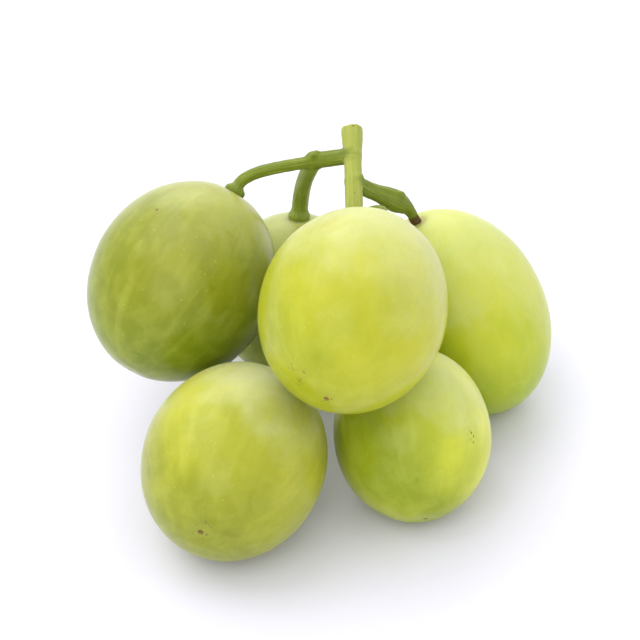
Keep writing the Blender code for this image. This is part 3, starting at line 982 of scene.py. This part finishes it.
def stem_parts(bunch, places):
    """All branches, knuckles and buds of the stem as loose pieces, and the branches' centrelines."""
    stem = bunch.stem
    low_top, high_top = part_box("berry_top")
    shift = Vector(((low_top.x + high_top.x) / 2, high_top.y + HUB_CLEARANCE, 0.0))
    hub = shift + UP * HUB_HEIGHT
    cut_end = shift + CUT_END
    left_knuckle = shift + LEFT_KNUCKLE
    right_knuckle = shift + RIGHT_KNUCKLE
    top_knuckle = shift + TOP_KNUCKLE
    fork = shift + FORK
    down_stalk = (TOP_KNUCKLE - LEFT_KNUCKLE).normalized()
    to_hub = (hub - top_knuckle).normalized()
    to_fork = (fork - left_knuckle).normalized()

    stalk, branch = stem.stalk_width, stem.branch_width
    thin, seat = [stem.pedicel_width], stem.seat_width
    cut_widths = [(part, stem.cut_width * share) for part, share in CUT_PROFILE]
    cut_widths += [(CUT_ENDS_AT, stalk), (1.0, stalk)]
    lower_widths = [(0.0, stalk), (1.0, branch)]
    side_widths = [(0.0, branch), (1.0, branch)]
    swollen = [branch, SWELLING_WIDTH, NECK_WIDTH]
    grown = {
        "stalk": grow(
            cut_end, down_stalk, top_knuckle, down_stalk, cut_widths, SHADES["stalk"], (CUT_CORK, 0.0)
        ),
        "lower_stalk": grow(top_knuckle, down_stalk, hub, to_hub, lower_widths, SHADES["lower_stalk"]),
        "side_branch": grow(left_knuckle, to_fork, fork, to_fork, side_widths, SHADES["side_branch"]),
    }
    for title, start, way, widths, end_width in (
        ("left", fork, LEFT_PEDICEL_WAY, thin, seat),
        ("back", fork, BACK_PEDICEL_WAY, [branch], seat),
        ("top", top_knuckle, TOP_PEDICEL_WAY, thin, seat),
        ("right", right_knuckle, RIGHT_PEDICEL_WAY, swollen, NECK_WIDTH),
        ("front_left", hub, FRONT_LEFT_PEDICEL_WAY, thin, seat),
        ("front_right", hub, FRONT_RIGHT_PEDICEL_WAY, thin, seat),
    ):
        grown[title] = pedicel(title, start, way, places[title], widths, end_width)
    solids = [rod for rod, _ in grown.values()]
    branches = [line for _, line in grown.values()]
    right_points = grown["right"][1].points
    stub = right_points[round(len(right_points) * STUB_PART)] + STUB_WAY * STUB_REACH
    bud = fork + FORK_BUD_WAY * branch * BUD_REACH
    solids += [
        swell(left_knuckle, stalk * KNUCKLE_SWELL, down_stalk),
        swell(right_knuckle, stalk * KNUCKLE_SWELL, down_stalk),
        swell(top_knuckle, stalk * KNUCKLE_SWELL, down_stalk),
        swell(fork, branch * KNUCKLE_SWELL, to_fork),
        swell(hub, branch * KNUCKLE_SWELL, to_hub),
        swell(stub, STUB_WIDTH, STUB_WAY, STUB_STRETCH),
        swell(bud, BUD_WIDTH, FORK_BUD_WAY, BUD_STRETCH),
    ]
    return solids, branches, cut_end, down_stalk


VOXEL = 0.12 * MM
JOINT_SMOOTHING = 6


def run_together(solids):
    """Joins the loose pieces and remeshes them as one skin, smoothed at the joints."""
    deselect_all()
    for solid in solids:
        solid.select_set(True)
    bpy.context.view_layer.objects.active = solids[0]
    bpy.ops.object.join()
    stem = bpy.context.object
    stem.name = "stalk"
    stem.data.name = "stalk"
    apply_modifier(stem, "REMESH", mode="VOXEL", voxel_size=VOXEL, adaptivity=0.0)
    apply_modifier(stem, "SMOOTH", factor=0.5, iterations=JOINT_SMOOTHING)
    return stem


RIDGE_HEIGHT = 0.17 * MM
RIDGE_RUN = 9.0 * MM  # along the branch, over which a ridge changes
RIDGES_ROUND = 1.9  # round the branch, over one radius
BROAD_RUN = 0.35  # how fast broad ridges change along a branch, against the fine ones
FINE_RIDGES = 2.3  # how many fine ridges go on a broad one
FINE_SHIFT = 7.0  # so that the fine ridges don't follow the broad ones
BARK_GRAIN = 0.75 * MM
WART_GRAIN = 0.5 * MM
WART_LEVEL = 0.25  # above which the bark's pattern rises to a wart
PLAIN_WARTS = 0.25  # how strong warts are where the bark isn't corky
CORKY_WARTS = 2.0  # how much stronger they get with the cork
RIDGE_SHARE = 0.55
FINE_SHARE = 0.30
BARK_SHARE = 0.16
WART_SHARE = 0.9

CENTRELINE_STEPS = 6  # between two points of a centreline
SEAT_CORK_LENGTH = 1.9 * MM
START_CORK_LENGTH = 1.2 * MM
BRANCHES_APART = 20 * MM  # in the pattern along them, so that they don't look alike
NEAREST_POINTS = 10  # of the centrelines, whose shades and corks are blended in a point of the skin
BLEND_SOFTNESS = 0.05 * MM
TINY = 1e-7


def write_floats(mesh, name, values, kind="FLOAT", field="value"):
    attribute = mesh.attributes.new(name, kind, "POINT")
    attribute.data.foreach_set(field, np.asarray(values, np.float32).ravel())


def read_stem(stem, branches):
    """For each point of the skin: its way out of the centreline, how far along, its shade and its cork."""
    places, ways, alongs, shades, corks = [], [], [], [], []
    run = 0.0
    steps = CENTRELINE_STEPS
    for line in branches:
        count = (len(line.points) - 1) * steps
        spans = [
            line.points[n // steps].lerp(line.points[n // steps + 1], (n % steps) / steps)
            for n in range(count)
        ]
        spans.append(line.points[-1])
        whole = sum((q - p).length for p, q in zip(spans, spans[1:]))
        here = 0.0
        for n, place in enumerate(spans):
            if n:
                here += (place - spans[n - 1]).length
            step = min(n, count - 1)
            places.append(place)
            ways.append((spans[step + 1] - spans[step]).normalized())
            alongs.append(run + here)
            shades.append(line.shade)
            near_end = max(0.0, 1.0 - (whole - here) / SEAT_CORK_LENGTH)
            near_start = max(0.0, 1.0 - here / START_CORK_LENGTH)
            corks.append(line.cork_end * near_end + line.cork_start * near_start)
        run += whole + BRANCHES_APART

    tree = kdtree.KDTree(len(places))
    for n, place in enumerate(places):
        tree.insert(place, n)
    tree.balance()

    out_ways, out_alongs, out_shades, out_corks = [], [], [], []
    for point in stem.data.vertices:
        found = tree.find_n(point.co, NEAREST_POINTS)
        nearest = found[0][1]
        weights = [1.0 / (gap + BLEND_SOFTNESS) ** 4 for _, _, gap in found]
        total = sum(weights)
        way = ways[nearest]
        spoke = point.co - places[nearest]
        spoke = spoke - way * spoke.dot(way)
        out_ways.append(spoke.normalized() if spoke.length > TINY else way)
        out_alongs.append(alongs[nearest] + (point.co - places[nearest]).dot(way))
        out_shades.append(sum(shades[i] * w for (_, i, _), w in zip(found, weights)) / total)
        out_corks.append(sum(corks[i] * w for (_, i, _), w in zip(found, weights)) / total)
    return out_ways, out_alongs, out_shades, out_corks


def wrinkle(stem, ways, alongs, corks):
    """Long ridges and warts, raised by weight as if painted."""
    ridges = stem.vertex_groups.new(name="ridges")
    for n, (way, along, cork) in enumerate(zip(ways, alongs, corks)):
        slow = along / RIDGE_RUN
        spot = way * RIDGES_ROUND
        place = stem.data.vertices[n].co
        ridge = noise.noise(Vector((spot.x, spot.y, spot.z + slow * BROAD_RUN)))
        close = (spot.x * FINE_RIDGES + FINE_SHIFT, spot.y * FINE_RIDGES, spot.z * FINE_RIDGES + slow)
        fine = noise.noise(Vector(close))
        bark = noise.noise(place / BARK_GRAIN)
        warty = min(1.0, cork * CORKY_WARTS + PLAIN_WARTS)
        wart = max(0.0, noise.noise(place / WART_GRAIN) - WART_LEVEL) * warty
        weight = 0.5 + ridge * RIDGE_SHARE + fine * FINE_SHARE + bark * BARK_SHARE + wart * WART_SHARE
        ridges.add([n], min(1.0, max(0.0, weight)), "REPLACE")
    apply_modifier(
        stem, "DISPLACE", vertex_group="ridges", strength=RIDGE_HEIGHT, mid_level=0.0, direction="NORMAL"
    )
    stem.vertex_groups.clear()
    apply_modifier(stem, "DISPLACE", strength=-RIDGE_HEIGHT * 0.5, mid_level=0.0, direction="NORMAL")


PITH_FACE = 0.02 * MM  # how far outside the cut end its face is taken
PITH_RADIUS = 0.75 * MM
PITH_LAYER = 0.10 * MM  # the skin that sinks is no deeper than this below that face
PITH_DEPTH = 0.20 * MM
PITH_SOFTNESS = 0.5 * MM
PITH_COLOUR_DEPTH = 0.35 * MM
PITH_COLOUR_RADIUS = 0.9 * MM
PITH_COLOUR_EDGE = 0.4 * MM


def sink_pith(stem, cut_end, cut_way):
    """Sinks the middle of the cut end a little."""
    face = cut_end - cut_way * PITH_FACE
    pick_points(
        stem,
        lambda place: (place - face).length < PITH_RADIUS and (place - face).dot(cut_way) < PITH_LAYER,
    )
    drag(cut_way * PITH_DEPTH, PITH_SOFTNESS)
    close_edit()


def pith_at(place, cut_end, cut_way):
    """How far a point of the skin is pith, from 0 to 1."""
    off_face = abs((place - cut_end).dot(cut_way)) / PITH_COLOUR_DEPTH
    off_middle = max(0.0, (place - cut_end).length - PITH_COLOUR_RADIUS) / PITH_COLOUR_EDGE
    return max(0.0, 1.0 - off_face) * max(0.0, 1.0 - off_middle)


class GRAPES_OT_stem(bpy.types.Operator):
    """Makes the stem from its cut end down to the discs that carry the berries"""

    bl_idname = "grapes.stem"
    bl_label = "Stem"

    def execute(self, context):
        bunch = context.scene.grapes
        solids, branches, cut_end, cut_way = stem_parts(bunch, berry_places(bunch))
        stem = run_together(solids)
        ways, alongs, _, corks = read_stem(stem, branches)
        wrinkle(stem, ways, alongs, corks)
        sink_pith(stem, cut_end, cut_way)

        ways, alongs, shades, corks = read_stem(stem, branches)
        pith = [pith_at(point.co, cut_end, cut_way) for point in stem.data.vertices]
        write_floats(stem.data, "spoke", [tuple(way) for way in ways], "FLOAT_VECTOR", "vector")
        write_floats(stem.data, "along", alongs)
        write_floats(stem.data, "shade", shades)
        write_floats(stem.data, "cork", corks)
        write_floats(stem.data, "pith", pith)
        take_only(stem)
        bpy.ops.object.shade_smooth()
        stem.data.materials.clear()
        stem.data.materials.append(stem_material(bunch.stem))
        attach(stem, "root")
        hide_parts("stem")
        return {"FINISHED"}


def read_attribute(tree, name, output="Fac"):
    node = tree.nodes.new("ShaderNodeAttribute")
    node.attribute_name = name
    return node.outputs[output]


FIBRE_RUN = 55.0  # of the fibres' pattern, per metre along a branch
FIBRE_SPREAD = 2.6  # of the same pattern, round the branch
LIT_FIBRE = (0.56, 0.60, 0.10, 1.0)
DARK_FIBRE = (0.10, 0.12, 0.02, 1.0)
PITH_CREAM = (0.66, 0.62, 0.36, 1.0)
FIBRE_RELIEF = 0.12 * MM
BARK_DEPTH = 0.8 * MM  # how deep light goes into the bark


def stem_material(settings):
    """Green bark with long fibres, paler on the stalk, corky at the seats and at the cut end."""
    material, tree, shader = new_material("stem_bark")
    spoke = read_attribute(tree, "spoke", "Vector")
    along = read_attribute(tree, "along")
    shade = read_attribute(tree, "shade")
    cork = read_attribute(tree, "cork")
    pith = read_attribute(tree, "pith")
    spot = add_node(tree, "ShaderNodeTexCoord").outputs["Object"]

    run = math_node(tree, "MULTIPLY", along, FIBRE_RUN)
    along_run = add_node(tree, "ShaderNodeCombineXYZ", Z=run).outputs[0]
    grain_at = vector_node(tree, "ADD", vector_node(tree, "SCALE", spoke, scale=FIBRE_SPREAD), along_run)
    fibres = noise_node(tree, grain_at, 2.4, 5.0, 0.62, 0.2)
    mottle = noise_node(tree, spot, 620.0, 4.0, 0.6, 0.3)
    specks = noise_node(tree, spot, 1700.0, 3.0, 0.6)

    sturdy = (*settings.sturdy, 1.0)
    green = (*settings.green, 1.0)
    pale = (*settings.pale, 1.0)
    uneven = math_node(tree, "MULTIPLY_ADD", math_node(tree, "SUBTRACT", mottle, 0.5), 0.55, shade)
    colour = mix_colour(tree, remap(tree, uneven, 0.05, 0.55), sturdy, green)
    colour = mix_colour(tree, remap(tree, uneven, 0.55, 1.0), colour, pale)
    lit = mix_colour(tree, 0.45, colour, LIT_FIBRE)
    colour = mix_colour(tree, remap(tree, fibres, 0.50, 0.68, 0.0, 0.7), colour, lit)
    dark = mix_colour(tree, 0.5, colour, DARK_FIBRE)
    colour = mix_colour(tree, remap(tree, fibres, 0.46, 0.32, 0.0, 0.6), colour, dark)
    corky = math_node(tree, "MULTIPLY_ADD", math_node(tree, "SUBTRACT", specks, 0.5), 1.1, cork)
    dry = remap(tree, corky, 0.22, 0.62)
    colour = mix_colour(tree, dry, colour, (*settings.cork, 1.0))
    fleck = math_node(tree, "MULTIPLY", remap(tree, specks, 0.66, 0.74), 0.55)
    colour = mix_colour(tree, fleck, colour, (*settings.cork, 1.0))
    colour = mix_colour(tree, remap(tree, pith, 0.3, 0.8, 0.0, 0.85), colour, PITH_CREAM)
    tree.links.new(colour, shader.inputs["Base Color"])

    rough = math_node(tree, "MULTIPLY_ADD", fibres, 0.20, 0.42)
    rough = math_node(tree, "MULTIPLY_ADD", dry, 0.25, rough, clamp=True)
    tree.links.new(rough, shader.inputs["Roughness"])
    height = math_node(tree, "MULTIPLY_ADD", fibres, 0.8, math_node(tree, "MULTIPLY", specks, 0.5))
    bump = add_node(tree, "ShaderNodeBump", Strength=0.6, Distance=FIBRE_RELIEF, Height=height)
    tree.links.new(bump.outputs["Normal"], shader.inputs["Normal"])
    shader.inputs["Specular IOR Level"].default_value = 0.35
    shader.inputs["Subsurface Weight"].default_value = 0.35
    shader.inputs["Subsurface Radius"].default_value = (0.8, 1.0, 0.2)
    shader.inputs["Subsurface Scale"].default_value = BARK_DEPTH
    return material


# ---------------------------------------------------------------- the stage
# Name, place, width, power in watts and colour of each soft light.
LIGHTS = (
    ("overhead", (-0.50, 0.06, 0.95), 0.90, 3.1, (1.0, 0.995, 0.985)),
    ("back", (-0.10, 1.00, 0.66), 0.90, 3.8, (0.99, 0.995, 1.0)),
    ("front", (-0.35, -0.95, 0.80), 1.10, 5.0, (1.0, 1.0, 1.0)),
)
ROOM_COLOUR = (0.985, 0.985, 1.0, 1.0)
ROOM_STRENGTH = 0.95
FLOOR_VARIATION = 0.985  # how much of its colour the floor keeps in its darker clouds
SENSOR_WIDTH = 36.0  # in millimetres
NEAREST_SEEN = 0.05
FARTHEST_SEEN = 10.0


def soft_light(name, place, aim, size, energy, colour):
    deselect_all()
    bpy.ops.object.light_add(type="AREA", location=place)
    lamp = bpy.context.object
    lamp.name = name
    lamp.data.shape = "DISK"
    lamp.data.size = size
    lamp.data.energy = energy
    lamp.data.color = colour
    lamp.rotation_euler = (Vector(place) - aim).to_track_quat("Z", "Y").to_euler()


def floor_material(settings):
    material, tree, shader = new_material("pale_floor")
    spot = add_node(tree, "ShaderNodeTexCoord").outputs["Object"]
    faint = noise_node(tree, spot, 6.0, 2.0)
    darker = tuple(part * FLOOR_VARIATION for part in settings.floor_colour)
    colour = mix_colour(tree, faint, (*settings.floor_colour, 1.0), (*darker, 1.0))
    tree.links.new(colour, shader.inputs["Base Color"])
    tree.links.new(remap(tree, faint, 0.3, 0.7, 0.72, 0.80), shader.inputs["Roughness"])
    shader.inputs["Specular IOR Level"].default_value = 0.2
    return material


class GRAPES_OT_stage(bpy.types.Operator):
    """Makes the floor, the soft light and the camera"""

    bl_idname = "grapes.stage"
    bl_label = "Stage"

    def execute(self, context):
        settings = context.scene.grapes.stage
        deselect_all()
        bpy.ops.mesh.primitive_plane_add(size=settings.floor_size, location=(0.0, 0.0, 0.0))
        floor = bpy.context.object
        floor.name = "floor"
        floor.data.materials.append(floor_material(settings))

        low, high = CAD_BOX
        aim = (low + high) / 2
        for name, place, width, power, colour in LIGHTS:
            soft_light(name, place, aim, width, power, colour)

        world = bpy.data.worlds.new("soft_room")
        world.use_nodes = True
        room = world.node_tree.nodes["Background"]
        room.inputs["Color"].default_value = ROOM_COLOUR
        room.inputs["Strength"].default_value = ROOM_STRENGTH
        context.scene.world = world
        context.scene.view_settings.view_transform = "Standard"

        back = Vector((0.0, -math.cos(settings.elevation), math.sin(settings.elevation)))
        bpy.ops.object.camera_add(location=aim + back * settings.distance)
        camera = bpy.context.object
        camera.rotation_euler = back.to_track_quat("Z", "Y").to_euler()
        camera.data.sensor_width = SENSOR_WIDTH
        camera.data.lens = camera.data.sensor_width * settings.distance / settings.view_width
        camera.data.clip_start = NEAREST_SEEN
        camera.data.clip_end = FARTHEST_SEEN
        context.scene.camera = camera
        return {"FINISHED"}


class GRAPES_PT_bunch(bpy.types.Panel):
    """Lists the operators that make the bunch"""

    bl_label = "Bunch of Grapes"
    bl_idname = "GRAPES_PT_bunch"
    bl_space_type = "VIEW_3D"
    bl_region_type = "UI"
    bl_category = "Grapes"

    def draw(self, context):
        for maker in MAKERS:
            self.layout.operator(maker.bl_idname)


MAKERS = (GRAPES_OT_berries, GRAPES_OT_stem, GRAPES_OT_stage)
CLASSES = (
    *BERRY_GROUPS.values(),
    GRAPES_PG_stem,
    GRAPES_PG_stage,
    GRAPES_PG_bunch,
    *MAKERS,
    GRAPES_PT_bunch,
)


def register():
    for kind in CLASSES:
        bpy.utils.register_class(kind)
    bpy.types.Scene.grapes = PointerProperty(type=GRAPES_PG_bunch)


def unregister():
    del bpy.types.Scene.grapes
    for kind in reversed(CLASSES):
        bpy.utils.unregister_class(kind)


def main():
    register()
    bpy.ops.grapes.berries()
    bpy.ops.grapes.stem()
    bpy.ops.grapes.stage()


if __name__ == "__main__":
    main()
